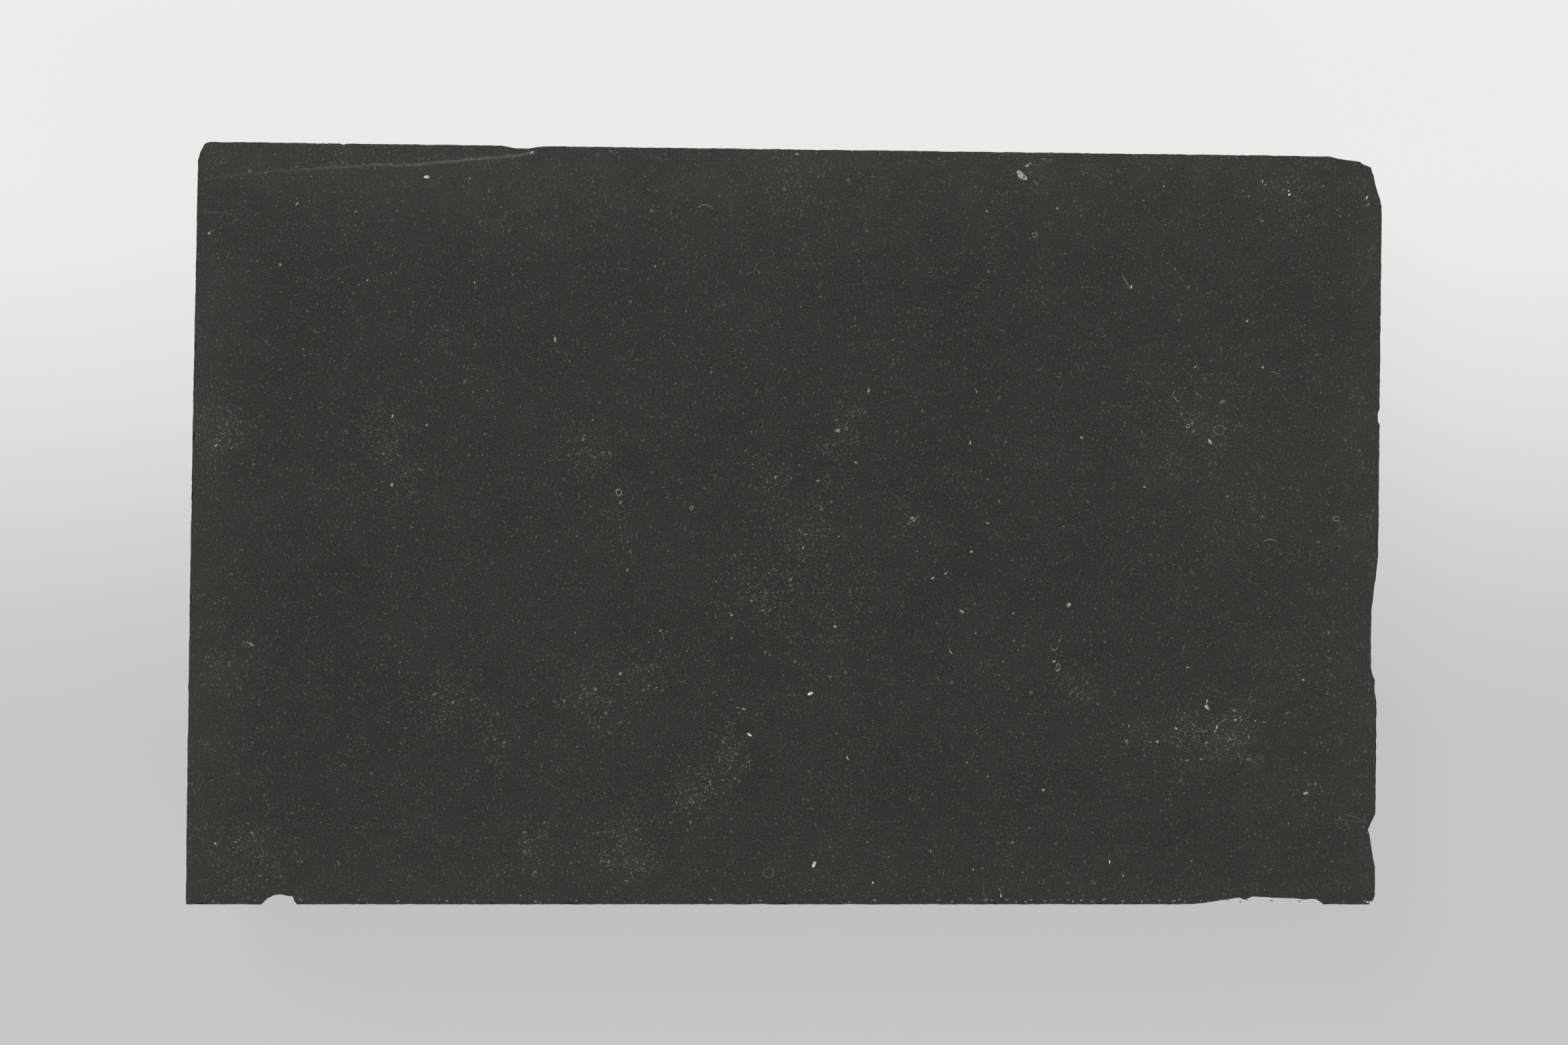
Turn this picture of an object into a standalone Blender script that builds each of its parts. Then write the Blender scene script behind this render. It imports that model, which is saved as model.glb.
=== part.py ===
"""Basalt massage stone: one sawn and honed slab of dark grey basalt with chipped edges.

Metres, +Z up. The slab lies on its sawn underside at z = 0, its honed face is up, its length runs
along X and its width along Y, and the origin is the middle of the underside. The corners are named
from above, with the front edge towards -Y.
"""
import math

import bmesh
import bpy
from mathutils import Vector

MM = 0.001

# Overall sizes of the slab.
SLAB_LENGTH = 155.0 * MM
SLAB_WIDTH = 98.75 * MM
SLAB_THICKNESS = 20.0 * MM

# The saw cuts are not quite square to each other, and the left one is very slightly curved.
LEFT_EDGE_LEAN = 1.65 * MM
RIGHT_EDGE_LEAN = 1.00 * MM
BACK_EDGE_DROP = 2.00 * MM
LEFT_EDGE_BOW = 0.13 * MM
LEFT_EDGE_STEPS = 8

# Width of the eased arris round every edge.
ARRIS_WIDTH = 0.25 * MM
ARRIS_SEGMENTS = 2

# How far a cutter stands outside the stone, so that none of its faces lies on the stone's own.
CUTTER_OVERSHOOT = 0.5 * MM
PROFILE_OVERSHOOT = 0.1 * MM

# Every flake was struck off from above, so its scar slopes down and out along lines from a point
# this far above the middle of the honed face, until it runs out on the side.
SCAR_APEX_HEIGHT = 330.0 * MM

# Flakes off the upper arris of one edge. A profile is (distance along the edge from the named
# corner, depth into the honed face) in millimetres.
EDGE_FLAKES = {
    "front_bite": {
        "corner": "front_left", "towards": "front_right",
        "profile": ((9.8, 0), (10.5, 0.63), (11.3, 1.05), (12.3, 1.18), (13.2, 0.98), (13.85, 0.9),
                    (14.0, 0.3), (14.35, 0)),
    },
    "front_long_flake": {
        "corner": "front_right", "towards": "front_left",
        "profile": ((6.6, 0), (7.4, 0.5), (8.1, 0.6), (9.1, 0.5), (10.6, 0.69), (13.2, 0.74),
                    (15.8, 0.87), (16.85, 0.48), (17.4, 0.73), (17.9, 0.75), (19.0, 0.52),
                    (21.0, 0.23), (23.4, 0)),
    },
    "right_notch": {
        "corner": "front_right", "towards": "back_right",
        "profile": ((4.6, 0), (6.1, 0.28), (7.7, 0.5), (8.7, 0.68), (9.55, 0.92), (10.85, 0.32),
                    (11.8, 0)),
    },
    "right_long_flake": {
        "corner": "front_right", "towards": "back_right",
        "profile": ((25.8, 0), (27.4, 0.3), (28.9, 0.26), (29.6, 0.57), (30.6, 0.75), (34.6, 0.82),
                    (38.0, 0.73), (40.8, 0.46), (42.4, 0.24), (45.5, 0)),
    },
    "back_flake": {
        "corner": "back_left", "towards": "back_right",
        "profile": ((38.6, 0), (40.1, 0.17), (41.2, 0.35), (42.8, 0.35), (43.8, 0.12), (45.9, 0)),
    },
}

# Flakes off a corner. A profile is (distance from the corner along the first edge, distance along
# the second edge) in millimetres, from the first edge round to the second.
CORNER_FLAKES = {
    "back_right_break": {
        "corner": "back_right", "towards": ("back_left", "front_right"),
        "profile": ((7.2, 0), (5.6, 0.3), (2.85, 0.68), (2.45, 1.0), (1.45, 1.38), (1.05, 2.4),
                    (0.85, 3.5), (0.55, 4.5), (0.2, 5.5), (0, 6.8)),
    },
    "back_left_wear": {
        "corner": "back_left", "towards": ("back_right", "front_left"),
        "profile": ((1.8, 0), (1.1, 0.1), (0.76, 0.3), (0.4, 1.0), (0.18, 1.5), (0, 2.6)),
    },
}


def clear_scene():
    for old_object in list(bpy.data.objects):
        bpy.data.objects.remove(old_object, do_unlink=True)


def new_collection(name):
    collection = bpy.data.collections.new(name)
    bpy.context.scene.collection.children.link(collection)
    return collection


def honed_basalt():
    """Dark grey, fine-grained and dull: honed, neither polished nor oiled."""
    material = bpy.data.materials.new("honed_basalt")
    material.use_nodes = True
    shader = material.node_tree.nodes["Principled BSDF"]
    shader.inputs["Base Color"].default_value = (0.041, 0.039, 0.034, 1.0)
    shader.inputs["Roughness"].default_value = 0.7
    shader.inputs["Metallic"].default_value = 0.0
    return material


def slab_corners():
    half_length = SLAB_LENGTH / 2
    half_width = SLAB_WIDTH / 2
    return {
        "front_left": Vector((-half_length, -half_width)),
        "front_right": Vector((half_length - RIGHT_EDGE_LEAN, -half_width)),
        "back_right": Vector((half_length, half_width - BACK_EDGE_DROP)),
        "back_left": Vector((-half_length + LEFT_EDGE_LEAN, half_width)),
    }


def slab_outline(corners):
    """The four corners, with the left edge drawn out into its slight bow."""
    front_left = corners["front_left"]
    back_left = corners["back_left"]
    run = front_left - back_left
    outward = Vector((run.y, -run.x)).normalized()
    left_edge = []
    for step in range(1, LEFT_EDGE_STEPS):
        share = step / LEFT_EDGE_STEPS
        bow = LEFT_EDGE_BOW * math.sin(math.pi * share)
        left_edge.append(back_left + run * share + outward * bow)
    return [front_left, corners["front_right"], corners["back_right"], back_left] + left_edge


def extruded_outline(name, outline, low, high, collection):
    """A closed solid with the given flat outline between two heights, made from a filled 2D curve."""
    curve = bpy.data.curves.new(name + "_outline", "CURVE")
    curve.dimensions = "2D"
    curve.fill_mode = "BOTH"
    curve.extrude = (high - low) / 2
    spline = curve.splines.new("POLY")
    spline.points.add(len(outline) - 1)
    for point, place in zip(spline.points, outline):
        point.co = (place.x, place.y, 0.0, 1.0)
    spline.use_cyclic_u = True
    guide = bpy.data.objects.new(name + "_outline", curve)
    guide.location.z = (low + high) / 2
    collection.objects.link(guide)
    bpy.context.view_layer.update()

    evaluated = guide.evaluated_get(bpy.context.evaluated_depsgraph_get())
    mesh = bpy.data.meshes.new_from_object(evaluated)
    mesh.name = name
    solid = bpy.data.objects.new(name, mesh)
    solid.matrix_world = guide.matrix_world.copy()
    collection.objects.link(solid)
    bpy.data.objects.remove(guide, do_unlink=True)

    shell = bmesh.new()
    shell.from_mesh(mesh)
    bmesh.ops.remove_doubles(shell, verts=shell.verts, dist=1e-6)
    bmesh.ops.recalc_face_normals(shell, faces=shell.faces)
    shell.to_mesh(mesh)
    shell.free()
    return solid


def slope_outwards(cutter):
    """Spread a cutter's section from the slab's middle as it goes down, by the scar's slope."""
    middle = cutter.matrix_world.translation.z
    for vertex in cutter.data.vertices:
        below_face = SLAB_THICKNESS - (middle + vertex.co.z)
        spread = 1 + below_face / SCAR_APEX_HEIGHT
        vertex.co.x *= spread
        vertex.co.y *= spread


def flake_cutter(name, outline, collection):
    """A cutter as deep as the slab, which leaves the stone where its scar runs out on the side."""
    low = -CUTTER_OVERSHOOT
    high = SLAB_THICKNESS + CUTTER_OVERSHOOT
    cutter = extruded_outline(name, outline, low, high, collection)
    slope_outwards(cutter)
    cutter.hide_render = True
    cutter.display_type = "WIRE"
    return cutter


def edge_flake_cutter(name, flake, corners, collection):
    """A cutter for a flake off one edge, its outline closed by a straight line outside the stone."""
    corner = corners[flake["corner"]]
    along = (corners[flake["towards"]] - corner).normalized()
    inward = Vector((-along.y, along.x))
    if inward.dot(-corner) < 0:
        inward = -inward
    profile = [(distance * MM, depth * MM) for distance, depth in flake["profile"]]
    outline = []
    for distance, depth in profile:
        inset = depth if depth > 0 else -PROFILE_OVERSHOOT
        outline.append(corner + along * distance + inward * inset)
    reach = CUTTER_OVERSHOOT * 2
    outline.append(corner + along * profile[-1][0] - inward * reach)
    outline.append(corner + along * profile[0][0] - inward * reach)
    return flake_cutter(name, outline, collection)


def corner_flake_cutter(name, flake, corners, collection):
    """A cutter for a flake off a corner, its outline closed round the outside of the corner."""
    corner = corners[flake["corner"]]
    first = (corners[flake["towards"][0]] - corner).normalized()
    second = (corners[flake["towards"][1]] - corner).normalized()
    profile = [(across * MM, down * MM) for across, down in flake["profile"]]
    outline = []
    for across, down in profile:
        across = across if across > 0 else -PROFILE_OVERSHOOT
        down = down if down > 0 else -PROFILE_OVERSHOOT
        outline.append(corner + first * across + second * down)
    reach = CUTTER_OVERSHOOT * 2
    outline.append(corner - first * reach + second * profile[-1][1])
    outline.append(corner - first * reach - second * reach)
    outline.append(corner + first * profile[0][0] - second * reach)
    return flake_cutter(name, outline, collection)


def ease_arrises(slab):
    bevel = slab.modifiers.new("eased_arris", "BEVEL")
    bevel.width = ARRIS_WIDTH
    bevel.segments = ARRIS_SEGMENTS
    bevel.limit_method = "ANGLE"
    bevel.angle_limit = math.radians(60)


def cut(slab, cutter):
    boolean = slab.modifiers.new(cutter.name, "BOOLEAN")
    boolean.operation = "DIFFERENCE"
    boolean.solver = "EXACT"
    boolean.object = cutter


def basalt_slab(parts, cutters):
    """The stone: the sawn block, its eased arrises, and the flakes off its upper edges."""
    corners = slab_corners()
    slab = extruded_outline("basalt_slab", slab_outline(corners), 0.0, SLAB_THICKNESS, parts)
    slab.data.materials.clear()
    slab.data.materials.append(honed_basalt())
    ease_arrises(slab)
    for name, flake in EDGE_FLAKES.items():
        cut(slab, edge_flake_cutter(name, flake, corners, cutters))
    for name, flake in CORNER_FLAKES.items():
        cut(slab, corner_flake_cutter(name, flake, corners, cutters))
    return slab


def main():
    clear_scene()
    parts = new_collection("basalt_massage_stone")
    cutters = new_collection("cutters")
    basalt_slab(parts, cutters)


main()
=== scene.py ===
"""Looks of the basalt massage stone: a sawn and honed slab with chipped edges, on a pale table."""

import math
import random

import bmesh
import bpy
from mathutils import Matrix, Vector


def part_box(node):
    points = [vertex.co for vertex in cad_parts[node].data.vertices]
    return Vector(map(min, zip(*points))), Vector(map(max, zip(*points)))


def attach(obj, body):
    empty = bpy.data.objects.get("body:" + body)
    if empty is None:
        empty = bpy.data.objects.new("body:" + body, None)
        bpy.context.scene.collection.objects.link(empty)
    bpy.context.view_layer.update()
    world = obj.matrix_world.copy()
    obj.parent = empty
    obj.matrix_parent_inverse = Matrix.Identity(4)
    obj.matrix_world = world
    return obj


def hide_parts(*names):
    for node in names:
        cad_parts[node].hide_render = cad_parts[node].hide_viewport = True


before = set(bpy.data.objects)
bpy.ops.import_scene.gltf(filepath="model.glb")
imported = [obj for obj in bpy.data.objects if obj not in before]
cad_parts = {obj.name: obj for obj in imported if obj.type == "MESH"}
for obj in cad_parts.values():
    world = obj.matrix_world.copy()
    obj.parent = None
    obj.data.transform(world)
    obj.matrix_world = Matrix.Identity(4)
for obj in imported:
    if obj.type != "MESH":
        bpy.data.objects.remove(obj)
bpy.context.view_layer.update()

MM = 0.001

SLAB_LOW, SLAB_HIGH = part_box("basalt_slab")
LENGTH = SLAB_HIGH.x - SLAB_LOW.x
WIDTH = SLAB_HIGH.y - SLAB_LOW.y
THICKNESS = SLAB_HIGH.z - SLAB_LOW.z
TOP = SLAB_HIGH.z

# The saw cuts are not quite square to each other, and the left one is very slightly bowed.
LEFT_EDGE_LEAN = 1.65 * MM
RIGHT_EDGE_LEAN = 1.00 * MM
BACK_EDGE_DROP = 2.00 * MM
LEFT_EDGE_BOW = 0.13 * MM
ARRIS_WIDTH = 0.14 * MM
# The scars of the breaks slope outwards as they go down, along lines from a point this far up.
SCAR_APEX_HEIGHT = 330.0 * MM

# Spacing of the slab's mesh along the outline, in from the arris, and down the side. The long runs
# are cut into a few parts first, and each part then into steps.
OUTLINE_STEP = 0.40 * MM
RING_STEPS = (0.40 * MM, 0.45 * MM, 0.6 * MM, 0.9 * MM, 1.4 * MM)
ROW_STEPS = (0.40 * MM, 0.45 * MM) + (0.538 * MM,) * 17
FIRST_CUTS = 4

# Edges flatter than this are shaded smooth.
SMOOTH_BELOW = math.radians(40)

RNG = random.Random(20)


# ---------------------------------------------------------------- small tools

def deselect_all():
    bpy.ops.object.select_all(action="DESELECT")


def make_active(piece):
    deselect_all()
    piece.select_set(True)
    bpy.context.view_layer.objects.active = piece


def apply_modifier(piece, kind, name, **settings):
    """Add one modifier with its settings and apply it."""
    modifier = piece.modifiers.new(name, kind)
    for setting, value in settings.items():
        setattr(modifier, setting, value)
    make_active(piece)
    bpy.ops.object.modifier_apply(modifier=modifier.name)


def select_vertices(piece, test):
    """In edit mode, select exactly the vertices whose place passes the test."""
    bpy.ops.mesh.select_mode(type="VERT")
    bpy.ops.mesh.select_all(action="DESELECT")
    shell = bmesh.from_edit_mesh(piece.data)
    for vertex in shell.verts:
        vertex.select = test(vertex.co)
    shell.select_flush(True)
    bmesh.update_edit_mesh(piece.data)


def select_open_edge():
    """In edit mode, select the open outer loop."""
    bpy.ops.mesh.select_mode(type="EDGE")
    bpy.ops.mesh.select_all(action="DESELECT")
    bpy.ops.mesh.select_non_manifold()


def select_big_faces(slab):
    """In edit mode, select the faces that take up more than half of the slab's top or bottom."""
    bpy.ops.mesh.select_mode(type="FACE")
    bpy.ops.mesh.select_all(action="DESELECT")
    shell = bmesh.from_edit_mesh(slab.data)
    for face in shell.faces:
        face.select = face.calc_area() > LENGTH * WIDTH / 2
    bmesh.update_edit_mesh(slab.data)


def joined(pieces, name):
    deselect_all()
    for piece in pieces:
        piece.select_set(True)
    bpy.context.view_layer.objects.active = pieces[0]
    bpy.ops.object.join()
    whole = bpy.context.object
    whole.name = name
    return whole


def outline_corners():
    return {
        "front_left": Vector((SLAB_LOW.x, SLAB_LOW.y)),
        "front_right": Vector((SLAB_HIGH.x - RIGHT_EDGE_LEAN, SLAB_LOW.y)),
        "back_right": Vector((SLAB_HIGH.x, SLAB_HIGH.y - BACK_EDGE_DROP)),
        "back_left": Vector((SLAB_LOW.x + LEFT_EDGE_LEAN, SLAB_HIGH.y)),
    }


CORNERS = outline_corners()


# ---------------------------------------------------------------- materials

def srgb(code):
    """A hex colour as linear red, green, blue and alpha."""
    channels = [int(code[i:i + 2], 16) / 255 for i in (0, 2, 4)]
    linear = [c / 12.92 if c <= 0.04045 else ((c + 0.055) / 1.055) ** 2.4 for c in channels]
    return (*linear, 1.0)


def add(tree, kind, inputs=None, **settings):
    """Add one node with its settings, and set or link its inputs."""
    node = tree.nodes.new(kind)
    for setting, value in settings.items():
        setattr(node, setting, value)
    for socket, value in (inputs or {}).items():
        if isinstance(value, bpy.types.NodeSocket):
            tree.links.new(value, node.inputs[socket])
        else:
            node.inputs[socket].default_value = value
    return node


def new_material(name):
    material = bpy.data.materials.new(name)
    material.use_nodes = True
    return material, material.node_tree, material.node_tree.nodes["Principled BSDF"]


def in_millimetres(tree):
    """The piece's own coordinates, in millimetres."""
    place = add(tree, "ShaderNodeTexCoord").outputs["Object"]
    scaled = add(tree, "ShaderNodeVectorMath", {0: place, "Scale": 1000.0}, operation="SCALE")
    return scaled.outputs["Vector"]


def noise(tree, place, size, detail=2.0, roughness=0.5):
    """Noise whose marks are about the given size across, in millimetres."""
    node = add(tree, "ShaderNodeTexNoise",
               {"Vector": place, "Scale": 1 / size, "Detail": detail, "Roughness": roughness})
    return node.outputs["Fac"]


def warped(tree, place, size, reach, detail=1.0):
    """The coordinates pushed about by noise of the given size, so that outlines are ragged."""
    push = add(tree, "ShaderNodeTexNoise", {"Vector": place, "Scale": 1 / size, "Detail": detail})
    centred = add(tree, "ShaderNodeVectorMath",
                  {0: push.outputs["Color"], 1: (0.5, 0.5, 0.5)}, operation="SUBTRACT")
    moved = add(tree, "ShaderNodeVectorMath",
                {0: centred.outputs["Vector"], 1: (reach, reach, reach), 2: place},
                operation="MULTIPLY_ADD")
    return moved.outputs["Vector"]


def spread(tree, value, low, high, out_low=0.0, out_high=1.0):
    """Stretch a value between two limits on to a new range, and hold it there."""
    node = add(tree, "ShaderNodeMapRange",
               {"Value": value, "From Min": low, "From Max": high, "To Min": out_low,
                "To Max": out_high})
    return node.outputs["Result"]


def maths(tree, operation, first, second=0.0):
    node = add(tree, "ShaderNodeMath", {0: first, 1: second}, operation=operation)
    return node.outputs["Value"]


def laths(tree, place, cell, half_sizes, share, soft=0.35):
    """Small crystals at random angles: 1 inside one, 0 outside.

    The cell is their spacing and the half sizes their half length, breadth and depth, all in
    millimetres. Only the given share of the cells holds one.
    """
    cells = add(tree, "ShaderNodeVectorMath", {0: place, "Scale": 1 / cell}, operation="SCALE")
    voronoi = add(tree, "ShaderNodeTexVoronoi", {"Vector": cells.outputs["Vector"], "Scale": 1.0})
    offset = add(tree, "ShaderNodeVectorMath",
                 {0: cells.outputs["Vector"], 1: voronoi.outputs["Position"]}, operation="SUBTRACT")
    turn = add(tree, "ShaderNodeVectorMath", {0: voronoi.outputs["Color"], "Scale": 2 * math.pi},
               operation="SCALE")
    turned = add(tree, "ShaderNodeVectorRotate",
                 {"Vector": offset.outputs["Vector"], "Rotation": turn.outputs["Vector"]},
                 rotation_type="EULER_XYZ")
    stretch = Vector(half_sizes) / cell
    scaled = add(tree, "ShaderNodeVectorMath",
                 {0: turned.outputs["Vector"], 1: stretch}, operation="DIVIDE")
    reach = add(tree, "ShaderNodeVectorMath", {0: scaled.outputs["Vector"]}, operation="LENGTH")
    inside = spread(tree, reach.outputs["Value"], 1.0, 1.0 - soft)
    chance = add(tree, "ShaderNodeSeparateColor", {"Color": voronoi.outputs["Color"]})
    held = maths(tree, "LESS_THAN", chance.outputs["Green"], share)
    # Most crystals are faint and a few are bright.
    rare = maths(tree, "POWER", chance.outputs["Blue"], 2.0)
    strength = spread(tree, rare, 0.0, 1.0, 0.2, 1.4)
    return maths(tree, "MULTIPLY", maths(tree, "MULTIPLY", inside, held), strength)


# Where the pale crystals gather: place on the honed face and radius in mm, and strength.
CLUSTERS = (
    (-73.0, 12.0, 5.0, 1.2), (-51.9, 11.0, 4.5, 1.0), (-48.8, 6.8, 4.0, 0.8),
    (-44.5, 24.5, 4.0, 0.4), (-25.5, 8.6, 4.5, 0.9), (-22.0, -1.0, 6.0, 0.4),
    (7.5, 11.5, 4.5, 1.1), (-1.5, 5.0, 5.5, 0.75),
    (3.0, -2.0, 7.5, 0.7), (-1.5, -8.0, 9.0, 0.8), (8.5, -8.5, 5.0, 0.7), (5.0, -12.5, 4.5, 0.8),
    (16.5, 0.4, 2.5, 0.6), (24.0, 5.0, 4.0, 0.4), (5.6, -20.0, 4.0, 0.4), (-44.5, -23.8, 5.5, 1.0),
    (-38.5, -27.0, 5.0, 0.9), (-25.5, -22.5, 6.5, 0.8), (-17.5, -20.0, 5.5, 0.8),
    (-8.0, -30.5, 5.0, 1.6), (-11.5, -35.0, 5.0, 1.1), (-20.3, -42.5, 6.5, 1.0),
    (-33.0, -42.0, 5.0, 0.7), (37.5, -20.8, 4.5, 0.9), (47.0, -27.0, 5.0, 0.6),
    (53.0, -28.0, 5.5, 1.2), (58.0, -28.0, 5.0, 1.7), (52.5, 12.0, 11.0, 0.5),
    (62.0, 0.0, 8.0, 0.3), (67.0, -19.0, 6.0, 0.4), (68.5, -35.5, 3.5, 0.3), (2.0, 44.0, 7.0, 0.5),
    (66.0, 43.0, 7.0, 0.5), (-71.5, -18.5, 5.0, 0.5), (-70.0, -44.0, 7.0, 0.7),
    (32.0, 46.0, 5.0, 0.6),
)


def clusters(tree, place):
    """How strongly the pale crystals gather, from ragged soft spots round the places above."""
    moved = warped(tree, place, 1 / 0.45, 9.0, detail=3.0)
    total = None
    for x, y, radius, strength in CLUSTERS:
        away = add(tree, "ShaderNodeVectorMath", {0: moved, 1: (x, y, TOP / MM)},
                   operation="DISTANCE")
        spot = spread(tree, away.outputs["Value"], radius, 0.2 * radius, 0.0, strength)
        total = spot if total is None else maths(tree, "MAXIMUM", total, spot)
    return total


def painted_edge_light(tree, place):
    """Painted light: the face is drawn a little paler towards its edges, most along the back."""
    split = add(tree, "ShaderNodeSeparateXYZ", {"Vector": place})
    ragged = maths(tree, "MULTIPLY", maths(tree, "SUBTRACT", noise(tree, place, 5.0), 0.5), 10.0)
    across = maths(tree, "ADD", split.outputs["X"], ragged)
    up = maths(tree, "ADD", split.outputs["Y"], ragged)
    half_length = LENGTH / 2 / MM
    half_width = WIDTH / 2 / MM
    bands = (
        spread(tree, up, half_width - 18.0, half_width - 1.0, 0.0, 1.0),
        spread(tree, up, 14.0 - half_width, -half_width, 0.0, 0.6),
        spread(tree, across, 12.0 - half_length, -half_length, 0.0, 0.85),
        spread(tree, across, half_length - 52.0, half_length - 12.0, 0.0, 0.5),
        spread(tree, across, half_length - 14.0, half_length, 0.0, 1.0),
    )
    total = bands[0]
    for band in bands[1:]:
        total = maths(tree, "MAXIMUM", total, band)
    return total


def healed_crack(tree, place):
    """A fine pale line from the left edge to the flake at the back, strongest near the flake."""
    split = add(tree, "ShaderNodeSeparateXYZ", {"Vector": place})
    along = spread(tree, split.outputs["X"], -76.0, -32.5)
    course = add(tree, "ShaderNodeFloatCurve", {"Value": along})
    curve = course.mapping.curves[0]
    # Distance along the line from its left end, and height above y = 44 mm out of 4 mm.
    for share, height in ((0.12, 0.28), (0.33, 0.45), (0.52, 0.58), (0.65, 0.6), (0.75, 0.7),
                          (0.88, 0.83), (0.96, 0.92)):
        curve.points.new(share, height)
    curve.points[0].location = (0.0, 0.05)
    curve.points[-1].location = (1.0, 1.0)
    course.mapping.update()
    height = maths(tree, "ADD", maths(tree, "MULTIPLY", course.outputs["Value"], 4.0), 44.0)
    wobble = maths(tree, "MULTIPLY", maths(tree, "SUBTRACT", noise(tree, place, 1.2), 0.5), 0.5)
    off = maths(tree, "ADD", maths(tree, "SUBTRACT", split.outputs["Y"], height), wobble)
    line = spread(tree, maths(tree, "ABSOLUTE", off), 0.28, 0.0)
    ends = maths(tree, "MULTIPLY", spread(tree, split.outputs["X"], -76.0, -75.0),
                 spread(tree, split.outputs["X"], -31.8, -32.6))
    broken = spread(tree, noise(tree, place, 0.7), 0.35, 0.65, 0.45, 1.0)
    fade = spread(tree, along, 0.1, 1.0, 0.3, 1.7)
    total = maths(tree, "MULTIPLY", maths(tree, "MULTIPLY", line, ends),
                  maths(tree, "MULTIPLY", broken, fade))
    return maths(tree, "MULTIPLY", total, spread(tree, split.outputs["Z"], 19.0, 19.8))


def saw_marks(tree, place):
    """The sawn faces as a mask, and the fine level grooves that the blade leaves on them."""
    split = add(tree, "ShaderNodeSeparateXYZ", {"Vector": place})
    sawn = spread(tree, split.outputs["Z"], TOP / MM - 0.1, TOP / MM - 0.5)
    wave = add(tree, "ShaderNodeTexWave",
               {"Vector": place, "Scale": 0.42, "Distortion": 7.0, "Detail": 3.0,
                "Detail Scale": 0.12}, bands_direction="Z")
    worn = spread(tree, noise(tree, place, 5.0), 0.42, 0.7)
    grooves = maths(tree, "MULTIPLY", maths(tree, "MULTIPLY", wave.outputs["Fac"], worn), sawn)
    return sawn, grooves


def layered(tree, below, above, amount):
    """Lay one colour over another by an amount."""
    mix = add(tree, "ShaderNodeMix", {0: amount, 6: below, 7: above}, data_type="RGBA")
    return mix.outputs[2]


def honed_basalt():
    """Basalt, sawn and then honed with fine grit: dull, so its grain shows and no reflections."""
    material, tree, shader = new_material("honed_basalt")
    place = in_millimetres(tree)
    ragged = warped(tree, place, 0.4, 0.55)
    gathered = clusters(tree, place)
    # Painted light: the face is drawn paler towards its edges, most along the back.
    edges = painted_edge_light(tree, place)

    # Groundmass: broad clouds where the melt was uneven, and the crystal grain itself, which is
    # about 0.1 mm and drawn at 0.25 mm so that it shows.
    clouds = maths(tree, "ADD", maths(tree, "MULTIPLY", noise(tree, place, 16.0), 0.5),
                   maths(tree, "MULTIPLY", noise(tree, place, 3.5), 0.5))
    grain = noise(tree, place, 0.25, detail=4.0, roughness=0.75)
    tone = maths(tree, "ADD", maths(tree, "MULTIPLY", clouds, 0.17),
                 maths(tree, "MULTIPLY", grain, 0.83))
    ground = add(tree, "ShaderNodeValToRGB", {"Fac": tone})
    ground.color_ramp.elements[0].position = 0.38
    ground.color_ramp.elements[0].color = srgb("191712")
    ground.color_ramp.elements[1].position = 0.62
    ground.color_ramp.elements[1].color = srgb("33312c")

    # Feldspar: a haze of short pale laths, denser in the clusters, and larger and brighter ones.
    patchy = spread(tree, noise(tree, place, 2.0, detail=3.0), 0.42, 0.68)
    haze = maths(tree, "ADD", maths(tree, "MULTIPLY", gathered, 0.5),
                 maths(tree, "MULTIPLY", patchy, 0.5))
    dust = laths(tree, ragged, 0.32, (0.19, 0.08, 0.12),
                 maths(tree, "ADD", haze, 0.1), soft=0.9)
    fine = laths(tree, ragged, 0.62, (0.34, 0.11, 0.18),
                 maths(tree, "ADD", maths(tree, "MULTIPLY", haze, 0.8), 0.12), soft=0.8)
    middling = laths(tree, ragged, 1.3, (0.3, 0.14, 0.3),
                     maths(tree, "ADD", maths(tree, "MULTIPLY", gathered, 0.5), 0.06), soft=0.7)
    coarse = laths(tree, ragged, 3.4, (0.3, 0.14, 0.5),
                   maths(tree, "ADD", maths(tree, "MULTIPLY", gathered, 0.2), 0.05), soft=0.5)
    # The face is paler where crystals cluster, and with painted light towards its edges.
    crystal_paleness_and_edge_light = maths(tree, "ADD", maths(tree, "MULTIPLY", gathered, 0.006),
                 maths(tree, "MULTIPLY", edges, 0.02))
    colour = layered(tree, ground.outputs["Color"], srgb("aaa69a"), crystal_paleness_and_edge_light)
    # Iron stains some laths yellowish, and clear ones look bluish over the dark stone.
    stained = spread(tree, noise(tree, place, 0.8), 0.4, 0.6)
    tint = layered(tree, srgb("a8acac"), srgb("bab29c"), stained)
    for crystals, plain, crowded in ((dust, 0.26, 0.44), (fine, 0.36, 0.6), (middling, 0.48, 0.85)):
        strength = spread(tree, gathered, 0.0, 1.2, plain, crowded)
        colour = layered(tree, colour, tint, maths(tree, "MULTIPLY", crystals, strength))
    colour = layered(tree, colour, srgb("c9c5b6"), maths(tree, "MULTIPLY", coarse, 0.42))
    colour = layered(tree, colour, srgb("a8a59d"),
                     maths(tree, "MULTIPLY", healed_crack(tree, place), 0.13))
    # Sawn faces that were never honed are a little paler, with stone dust left on the ridges.
    sawn, grooves = saw_marks(tree, place)
    colour = layered(tree, colour, srgb("6f6c64"), maths(tree, "MULTIPLY", sawn, 0.08))
    colour = layered(tree, colour, srgb("86837a"), maths(tree, "MULTIPLY", grooves, 0.05))
    tree.links.new(colour, shader.inputs["Base Color"])

    shader.inputs["Roughness"].default_value = 0.72
    shader.inputs["IOR"].default_value = 1.5
    shader.inputs["Specular IOR Level"].default_value = 0.2
    height = maths(tree, "ADD", grain, maths(tree, "MULTIPLY", grooves, 1.2))
    relief = add(tree, "ShaderNodeBump", {"Height": height, "Strength": 0.5, "Distance": 0.00003})
    tree.links.new(relief.outputs["Normal"], shader.inputs["Normal"])
    return material


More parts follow.
